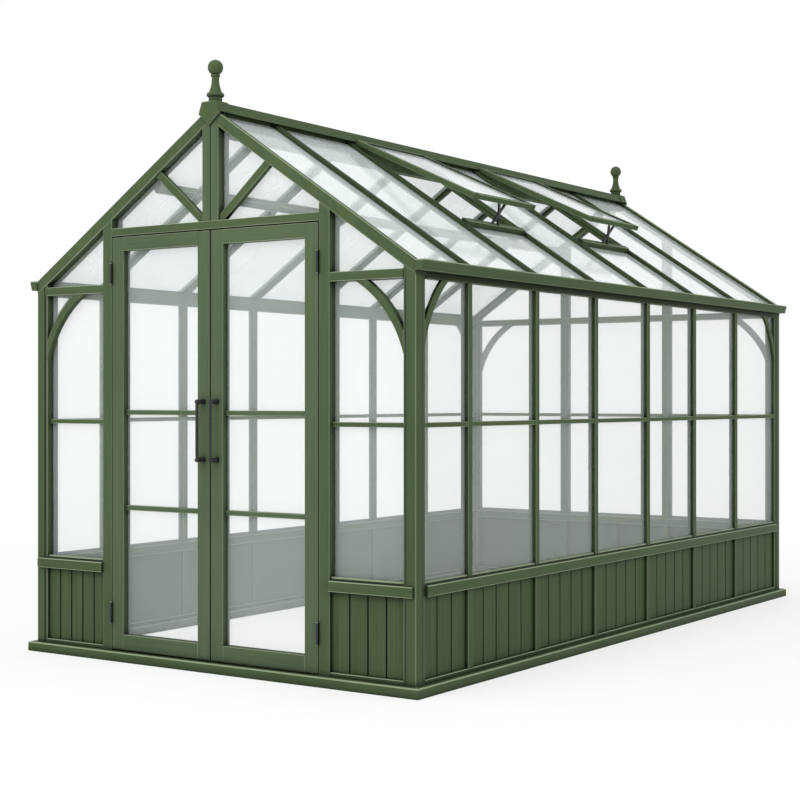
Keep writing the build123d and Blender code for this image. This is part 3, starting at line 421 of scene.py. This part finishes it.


# Painted members of the frame: the CAD shape with eased corners in a paler painted highlight. Each node has
# the name of its piece, the way its brush streaks run and the width of its eased corners.
paintedMembers = {
    "plinth_sides": ("plinthSides", "level", 0.0030),
    "plinth_ends": ("plinthEnds", "level", 0.0030),
    "corner_posts": ("cornerPosts", "upright", 0.0040),
    "bottom_rails": ("bottomRails", "level", 0.0035),
    "sill_rails_sides": ("sillRailsSides", "level", 0.0030),
    "sill_rails_ends": ("sillRailsEnds", "level", 0.0030),
    "dwarf_wall_studs": ("wallStuds", "upright", 0.0030),
    "glazing_bars": ("glazingBars", "upright", 0.0025),
    "wall_transoms": ("wallTransoms", "level", 0.0020),
    "eaves_beams": ("eavesBeams", "level", 0.0020),
    "gutters": ("gutters", "level", 0.0008),
    "gable_rafters_left": ("gableRaftersLeft", "sloped", 0.0040),
    "gable_rafters_right": ("gableRaftersRight", "sloped", 0.0040),
    "door_posts": ("doorPosts", "upright", 0.0025),
    "gable_rails": ("gableRails", "level", 0.0025),
    "back_mullions": ("backMullions", "upright", 0.0025),
    "king_post": ("kingPost", "upright", 0.0025),
    "gable_struts": ("gableStruts", "sloped", 0.0020),
    "corner_brackets": ("cornerBrackets", "sloped", 0.0020),
    "ridge_board": ("ridgeBoard", "level", 0.0020),
    "ridge_cap": ("ridgeCap", "level", 0.0008),
    "apex_plates": ("apexPlates", "sloped", 0.0015),
    "roof_bars": ("roofBars", "sloped", 0.0025),
    "roof_purlin": ("roofPurlin", "level", 0.0020),
    "vent_sills": ("ventSills", "level", 0.0020),
    "vent_stiles": ("ventStiles", "sloped", 0.0020),
    "vent_rails": ("ventRails", "level", 0.0020),
    "door_left_stiles": ("doorLeftStiles", "upright", 0.0018),
    "door_right_stiles": ("doorRightStiles", "upright", 0.0018),
    "door_left_rails": ("doorLeftRails", "level", 0.0018),
    "door_right_rails": ("doorRightRails", "level", 0.0018),
}
gutterRimHighlight = 0.005


# Painted highlight: a paler line along the rim of the gutters
def rimHighlight(bm):
    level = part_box("gutters")[1].z - gutterRimHighlight
    everything = list(bm.verts) + list(bm.edges) + list(bm.faces)
    bmesh.ops.bisect_plane(bm, geom=everything, plane_co=(0, 0, level), plane_no=(0, 0, 1))
    for face in bm.faces:
        if face.calc_center_median().z > level:
            face.material_index = surface["edge"]


# Which way a face has to look to get the painted shade, the darker copy of the paint
shadeRules = {"outwards": 0.9, "upwards": 0.5, "sideways": 0.1, "corner": 0.2}


# Painted shade behind the gutters, along the tops of the roof bars and on the front corner of the left
# rafter
def isShaded(face, nodeName):
    normal = face.normal
    if nodeName == "eaves_beams":
        side = 1 if face.calc_center_median().x > 0 else -1
        return normal.x * side > shadeRules["outwards"]
    if nodeName == "roof_bars":
        isTop = abs(normal.y) < shadeRules["sideways"] and normal.z > shadeRules["upwards"]
        isEdge = face.material_index == surface["edge"]
        return isTop or (isEdge and normal.y < -shadeRules["sideways"])
    if nodeName == "gable_rafters_left" and face.material_index == surface["edge"]:
        return normal.z > shadeRules["corner"] and normal.y < -shadeRules["corner"]
    return False


def shadeFaces(bm, nodeName):
    for face in bm.faces:
        if isShaded(face, nodeName):
            face.material_index = surface["dark"]


for nodeName, (pieceName, run, edgeWidth) in paintedMembers.items():
    member = mergedCopy(nodeName)
    easeCornersWithHighlight(member, edgeWidth, run)
    if nodeName == "gutters":
        rimHighlight(member)
    shadeFaces(member, nodeName)
    body = nodes[nodeName]["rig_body"]
    # the doors and the king post take the paler copy of the paint as painted light
    coats = doorLitPaints if body.startswith("door") or nodeName == "king_post" else paints
    finishPiece(member, pieceName, body, coats[run], [nodeName])
print("painted members dressed:", len(paintedMembers))

# Turned finials
finialTurning = mergedCopy("finials")
finishPiece(finialTurning, "finials", "greenhouse", paints["upright"], ["finials"])


# The separate solids of a CAD node, each as its lowest and highest corner
def solidBoxes(nodeName):
    bm = mergedCopy(nodeName)
    bm.verts.ensure_lookup_table()
    seen = set()
    boxes = []
    for first in bm.verts:
        if first.index in seen:
            continue
        seen.add(first.index)
        waiting, found = [first], []
        while waiting:
            vert = waiting.pop()
            found.append(vert.co.copy())
            for edge in vert.link_edges:
                other = edge.other_vert(vert)
                if other.index not in seen:
                    seen.add(other.index)
                    waiting.append(other)
        low = Vector([min(point[axis] for point in found) for axis in range(3)])
        high = Vector([max(point[axis] for point in found) for axis in range(3)])
        boxes.append((low, high))
    bm.free()
    return boxes


# Dwarf wall: narrow boards with open joints on the outside over a plain lining; the joints are near-black
# with painted shade
boardSizes = {
    "width": 0.118,
    "joint": 0.0080,
    "thickness": 0.011,
    "edge": 0.0010,
    "frontCounts": {"left": 5, "right": 4},
}


def boardCount(low, high, along):
    middle = (low + high) / 2
    if along == 0 and middle.y < 0:
        return boardSizes["frontCounts"]["left" if middle.x < 0 else "right"]
    return max(1, round((high - low)[along] / boardSizes["width"]))


def boardPanel(bm, low, high):
    size = high - low
    along, across = (0, 1) if size.x > size.y else (1, 0)
    outwards = 1 if (low + high)[across] > 0 else -1
    face = high[across] if outwards > 0 else low[across]
    back = face - outwards * boardSizes["thickness"]
    lining = [low.copy(), high.copy()]
    lining[0 if outwards < 0 else 1][across] = back
    for side in {side for vert in addBlock(bm, *lining) for side in vert.link_faces}:
        side.normal_update()
        # painted shade: the lining's outer face, seen only through the joints, is near-black
        if side.normal[across] * outwards > meshRules["square"]:  # seen only in the joints
            side.material_index = surface["dark"]
    count = boardCount(low, high, along)
    step = size[along] / count
    for i in range(count):
        start, end = low.copy(), high.copy()
        start[along] = low[along] + i * step + (boardSizes["joint"] / 2 if i else 0)
        end[along] = low[along] + (i + 1) * step - (boardSizes["joint"] / 2 if i < count - 1 else 0)
        start[across], end[across] = sorted((face, back))
        corners = addBlock(bm, start, end)
        for side in {side for vert in corners for side in vert.link_faces}:
            side.normal_update()
            # painted shade: the sides of the joints are near-black
            if abs(side.normal[along]) > meshRules["square"]:  # the sides of the joints
                side.material_index = surface["dark"]
        edges = {edge for vert in corners for edge in vert.link_edges}
        upright = [
            edge
            for edge in edges
            if all(abs(vert.co[across] - face) < meshRules["merge"] for vert in edge.verts)
            and abs(edge.verts[0].co.z - edge.verts[1].co.z) > meshRules["longEdge"]
        ]
        upright.sort(key=lambda edge: edge.verts[0].co[along])  # a set has no order of its own
        eased = bmesh.ops.bevel(
            bm,
            geom=upright,
            offset=boardSizes["edge"],
            affect="EDGES",
            segments=2,
            profile=0.5,
            material=-1,
        )
        for strip in eased["faces"]:
            strip.material_index = surface["paint"]


boards = bmesh.new()
for low, high in solidBoxes("dwarf_wall_boards"):
    boardPanel(boards, low, high)
boardCoatsWithJointShade = (boardPaint, paints["upright"][1], rubberAndPaintedShade)
finishPiece(boards, "wallBoards", "greenhouse", boardCoatsWithJointShade, ["dwarf_wall_boards"])
print("boards laid")

# Painted shade: near-black strips down each corner post, where the glazing flanges meet the square post
postShadeLines = {
    "post": 0.050,  # side of the square post
    "setback": 0.003,  # of its flanges behind its faces
    "width": 0.009,
    "proud": 0.0006,
}


def postShadeLine(bm, sides, across, along):
    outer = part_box("corner_posts")[1]
    face = outer[across] - postShadeLines["setback"]
    step = outer[along] - postShadeLines["post"]
    low, high = Vector(), Vector()
    low[across], high[across] = sorted(sides[across] * at for at in (face, face + postShadeLines["proud"]))
    low[along], high[along] = sorted(sides[along] * at for at in (step, step - postShadeLines["width"]))
    low.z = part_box("plinth_sides")[1].z
    high.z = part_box("eaves_beams")[0].z
    addBlock(bm, low, high)


# painted shade: near-black strips down the corner posts
joints = bmesh.new()
for sideX in (-1, 1):
    for sideY in (-1, 1):
        for across, along in ((0, 1), (1, 0)):
            postShadeLine(joints, (sideX, sideY), across, along)
finishPiece(joints, "cornerPostShadeLines", "greenhouse", (rubberAndPaintedShade,))

# Glazing: beads against the frame all round each pane of the gables and the doors, a deeper bead on the
# sills and a dark seal round every pane
glazingSizes = {
    "entry": 0.007,  # how far the glass goes into its groove
    "paneEdge": 0.02,  # faces narrower than this are the edges of a pane
    "lift": 0.0003,
    "bead": {"side_wall_glass": 0, "vent_glass": 0, "gable_glass": 0.010, "door": 0.008},
    "beadDepth": {"outside": 0.018, "inside": 0.009},
    "beadEdge": 0.003,
    "seal": 0.004,
    "sealDepth": {"outside": 0.008, "inside": 0.004},
    "sillBead": 0.016,
    "sillBeadDepth": 0.013,
    "sillBeadEdge": 0.007,
    # painted shade: a near-black strip in front of the foot of the sill bead
    "sillShadeStrip": 0.006,  # the dark joint in front of the foot of the sill bead
    "sillShadeStripDepth": 0.003,
}


# The two broad faces of every pane in a node: corners and the way each one faces
def paneFaces(nodeName):
    bm = mergedCopy(nodeName)
    narrowest = glazingSizes["paneEdge"]
    broad = [face for face in bm.faces if min(faceReach(face, edge) for edge in face.edges) > narrowest]
    found = [([vert.co.copy() for vert in face.verts], face.normal.copy()) for face in broad]
    bm.free()
    return found


def edgeMiddle(edge):
    return (edge.verts[0].co + edge.verts[1].co) / 2


# A closed ring round a pane, its inner front edge eased
def paneRing(bm, corners, normal, inset, width, depth, edgeWidth):
    lifted = [bm.verts.new(corner + normal * glazingSizes["lift"]) for corner in corners]
    face = bm.faces.new(lifted)
    face.normal_update()
    outer = bmesh.ops.inset_region(bm, faces=[face], thickness=inset, use_even_offset=True)["faces"]
    bmesh.ops.delete(bm, geom=outer, context="FACES")
    ring = bmesh.ops.inset_region(bm, faces=[face], thickness=width, use_even_offset=True)["faces"]
    bmesh.ops.delete(bm, geom=[face], context="FACES_ONLY")
    raised = bmesh.ops.extrude_face_region(bm, geom=ring, use_keep_orig=True)["geom"]
    raisedVerts = [item for item in raised if isinstance(item, bmesh.types.BMVert)]
    bmesh.ops.translate(bm, verts=raisedVerts, vec=normal * depth)
    if not edgeWidth:
        return
    centre = sum(corners, Vector()) / len(corners)
    tops = [item for item in raised if isinstance(item, bmesh.types.BMFace)]
    inner = []
    for top in tops:
        inner.append(min(top.edges, key=lambda edge: (edgeMiddle(edge) - centre).length))
    bmesh.ops.bevel(
        bm, geom=inner, offset=edgeWidth, affect="EDGES", segments=2, profile=0.5, material=-1
    )


def facesOutwards(corners, normal):
    centre = sum(corners, Vector()) / len(corners)
    return centre.x * normal.x + centre.y * normal.y > 0


# A strip along the foot of a pane, between two depths in front of the glass
def footStrip(bm, corners, normal, back, front, height):
    along, across = (0, 1) if abs(normal.y) > abs(normal.x) else (1, 0)
    entry = glazingSizes["entry"]
    foot = min(corner.z for corner in corners) + entry
    glass = corners[0][across] + normal[across] * glazingSizes["lift"]
    low, high = Vector(), Vector()
    low[along] = min(corner[along] for corner in corners) + entry
    high[along] = max(corner[along] for corner in corners) - entry
    low[across], high[across] = sorted((glass + normal[across] * back, glass + normal[across] * front))
    low.z, high.z = foot, foot + height
    return addBlock(bm, low, high)


# A deeper bead along the foot of each pane that stands on a sill, with a sloped crown in the paler painted
# highlight and a near-black painted-shade strip in front of its foot
def sillBead(beads, sealsAndShadeStrips, corners, normal, start):
    across = 1 if abs(normal.y) > abs(normal.x) else 0
    depth = glazingSizes["sillBeadDepth"] + start
    made = footStrip(beads, corners, normal, start, depth, glazingSizes["sillBead"])
    top = max(vert.co.z for vert in made)
    front = max(vert.co[across] * normal[across] for vert in made)
    crown = [
        edge
        for edge in {edge for vert in made for edge in vert.link_edges}
        if all(vert.co.z > top - meshRules["merge"] for vert in edge.verts)
        and all(abs(vert.co[across] * normal[across] - front) < meshRules["merge"] for vert in edge.verts)
    ]
    eased = bmesh.ops.bevel(
        beads,
        geom=crown,
        offset=glazingSizes["sillBeadEdge"],
        affect="EDGES",
        segments=2,
        profile=0.5,
        material=-1,
    )
    # the crown takes the painted highlight
    for face in eased["faces"]:
        face.material_index = surface["edge"]
    # painted shade: a near-black strip in front of the bead's foot
    footStrip(sealsAndShadeStrips, corners, normal, depth, depth + glazingSizes["sillShadeStripDepth"], glazingSizes["sillShadeStrip"])


glazedNodes = {
    "side_wall_glass": ("sideGlazing", "greenhouse", True),
    "gable_glass": ("gableGlazing", "greenhouse", True),
    "vent_glass": ("ventGlazing", "greenhouse", False),
    "door_left_glass": ("doorLeftGlazing", "door_left", False),
    "door_right_glass": ("doorRightGlazing", "door_right", False),
}
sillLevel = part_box("sill_rails_sides")[1].z

for nodeName, (pieceName, body, onSill) in glazedNodes.items():
    beads, sealsAndShadeStrips = bmesh.new(), bmesh.new()
    for corners, normal in paneFaces(nodeName):
        side = "outside" if facesOutwards(corners, normal) else "inside"
        entry = glazingSizes["entry"]
        bead = glazingSizes["bead"]["door" if nodeName.startswith("door") else nodeName]
        if bead:
            depth = glazingSizes["beadDepth"][side]
            paneRing(beads, corners, normal, entry, bead, depth, glazingSizes["beadEdge"])
        sealDepth = glazingSizes["sealDepth"][side]
        paneRing(sealsAndShadeStrips, corners, normal, entry + bead, glazingSizes["seal"], sealDepth, 0)
        if onSill and side == "outside" and min(corner.z for corner in corners) < sillLevel:
            start = glazingSizes["beadDepth"][side] if bead else 0
            sillBead(beads, sealsAndShadeStrips, corners, normal, start)
    for mesh, partName, slot, materials in (
        (beads, "Beads", "frame_paint", paints["level"]),
        (sealsAndShadeStrips, "SealsAndShadeStrips", "hardware", (rubberAndPaintedShade,)),
    ):
        if not mesh.faces:
            mesh.free()
            continue
        bmesh.ops.recalc_face_normals(mesh, faces=mesh.faces)
        finishPiece(mesh, pieceName + partName, body, materials)
print("panes beaded and sealed")

# The panes themselves keep their CAD shape
for glass, nodeNames in (
    (wallGlass, ("side_wall_glass", "gable_glass", "door_left_glass", "door_right_glass")),
    (roofGlass, ("roof_glass", "vent_glass")),
):
    for nodeName in nodeNames:
        nodes[nodeName].data.materials.clear()
        nodes[nodeName].data.materials.append(glass)

# Door furniture and vent stays: the CAD shapes, smoothed, in black
furniture = {
    "door_left_handle": ("doorLeftHandle", "door_left"),
    "door_right_handle": ("doorRightHandle", "door_right"),
    "door_left_hinges": ("doorLeftHinges", "door_left"),
    "door_right_hinges": ("doorRightHinges", "door_right"),
    "frame_hinges": ("frameHinges", "greenhouse"),
    "vent_stays": ("ventStays", "greenhouse"),
}
for nodeName, (pieceName, body) in furniture.items():
    finishPiece(mergedCopy(nodeName), pieceName, body, (black,), [nodeName])

# Tapered steel caps on the ends of the hinge pins
pinCaps = {
    "hinge": 0.1,  # height of a hinge
    "barrel": 0.006,  # radius of its barrel
    "radius": 0.0052,
    "crown": 0.0030,
    "rise": 0.0035,
    "sides": 24,
}
caps = bmesh.new()
for door in ("door_left_hinges", "door_right_hinges"):
    low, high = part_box(door)
    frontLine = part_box("frame_hinges")[0].y + pinCaps["barrel"]
    middleX = (low.x + high.x) / 2
    for level, way in (
        (low.z, -1),
        (low.z + pinCaps["hinge"], 1),
        (high.z - pinCaps["hinge"], -1),
        (high.z, 1),
    ):
        radii = (pinCaps["radius"], pinCaps["crown"])[::way]
        place = Matrix.Translation((middleX, frontLine, level + way * pinCaps["rise"] / 2))
        bmesh.ops.create_cone(
            caps,
            cap_ends=True,
            segments=pinCaps["sides"],
            radius1=radii[0],
            radius2=radii[1],
            depth=pinCaps["rise"],
            matrix=place,
        )
finishPiece(caps, "hingePinCaps", "greenhouse", (steel,))
print("furniture fitted")

# Pale studio floor: it takes the shadow near the greenhouse and fades to white further out
studioLook = {
    "floorRadius": 40.0,
    "floorSides": 96,
    "floorColour": (0.93, 0.93, 0.93),
    "floorRoughness": 0.9,
    "fade": (3.2, 6.5),
    "nearWhite": 0.66,  # share of plain white in the floor beside the greenhouse
    "skyLight": 0.78,
}


def cameraLikeRays(tree):
    path = tree.nodes.new("ShaderNodeLightPath")
    seen = addUp(tree, path.outputs["Is Camera Ray"], path.outputs["Is Glossy Ray"])
    return addUp(tree, seen, path.outputs["Is Transmission Ray"])


def layFloor():
    bm = bmesh.new()
    sides, radius = studioLook["floorSides"], studioLook["floorRadius"]
    bmesh.ops.create_circle(bm, cap_ends=True, segments=sides, radius=radius)
    mesh = bpy.data.meshes.new("studioFloor")
    bm.to_mesh(mesh)
    bm.free()
    material, tree, shader = startMaterial("studioFloor")
    shader.inputs["Base Color"].default_value = (*studioLook["floorColour"], 1)
    shader.inputs["Roughness"].default_value = studioLook["floorRoughness"]
    shader.inputs["Specular IOR Level"].default_value = 0
    coordinates = tree.nodes.new("ShaderNodeTexCoord")
    distance = tree.nodes.new("ShaderNodeVectorMath")
    distance.operation = "LENGTH"
    tree.links.new(coordinates.outputs["Object"], distance.inputs[0])
    far = stretchRange(tree, distance.outputs["Value"], studioLook["nearWhite"], 1, *studioLook["fade"])
    both = tree.nodes.new("ShaderNodeMath")
    both.operation = "MULTIPLY"
    tree.links.new(far, both.inputs[0])
    tree.links.new(cameraLikeRays(tree), both.inputs[1])
    white = tree.nodes.new("ShaderNodeEmission")
    blend = tree.nodes.new("ShaderNodeMixShader")
    tree.links.new(both.outputs["Value"], blend.inputs["Fac"])
    tree.links.new(shader.outputs["BSDF"], blend.inputs[1])
    tree.links.new(white.outputs["Emission"], blend.inputs[2])
    output = tree.nodes["Material Output"]
    tree.links.new(blend.outputs["Shader"], output.inputs["Surface"])
    mesh.materials.append(material)
    floor = bpy.data.objects.new("studioFloor", mesh)
    bpy.context.scene.collection.objects.link(floor)


def lightSky():
    world = bpy.data.worlds.new("studioWorld")
    bpy.context.scene.world = world
    world.use_nodes = True
    tree = world.node_tree
    soft = tree.nodes["Background"]
    soft.inputs["Color"].default_value = (1, 1, 1, 1)
    soft.inputs["Strength"].default_value = studioLook["skyLight"]
    white = tree.nodes.new("ShaderNodeBackground")
    white.inputs["Color"].default_value = (1, 1, 1, 1)
    white.inputs["Strength"].default_value = 1
    blend = tree.nodes.new("ShaderNodeMixShader")
    tree.links.new(cameraLikeRays(tree), blend.inputs["Fac"])
    tree.links.new(soft.outputs["Background"], blend.inputs[1])
    tree.links.new(white.outputs["Background"], blend.inputs[2])
    tree.links.new(blend.outputs["Shader"], tree.nodes["World Output"].inputs["Surface"])


# Large soft lamps, all aimed at the middle of the greenhouse
lamps = {
    "keyLamp": {"place": (0.2, -6.2, 5.8), "size": 4.0, "power": 185},
    "fillLamp": {"place": (-6.5, -6.0, 3.5), "size": 5.0, "power": 60},
    "sideLamp": {"place": (8.0, 2.5, 4.5), "size": 5.0, "power": 60},
    "backLamp": {"place": (-3.0, 8.5, 5.5), "size": 5.0, "power": 80},
    "topLamp": {"place": (0.5, 0.5, 8.5), "size": 6.0, "power": 60},
}
lampAim = Vector((0, 0, 1.2))


def hangLamps():
    for name, lamp in lamps.items():
        data = bpy.data.lights.new(name, "AREA")
        data.shape = "SQUARE"
        data.size = lamp["size"]
        data.energy = lamp["power"]
        light = bpy.data.objects.new(name, data)
        light.location = lamp["place"]
        light.visible_glossy = False
        light.rotation_euler = (lampAim - light.location).to_track_quat("-Z", "Y").to_euler()
        bpy.context.scene.collection.objects.link(light)


layFloor()
lightSky()
hangLamps()
bpy.context.scene.view_settings.view_transform = "Standard"
print("studio lit")
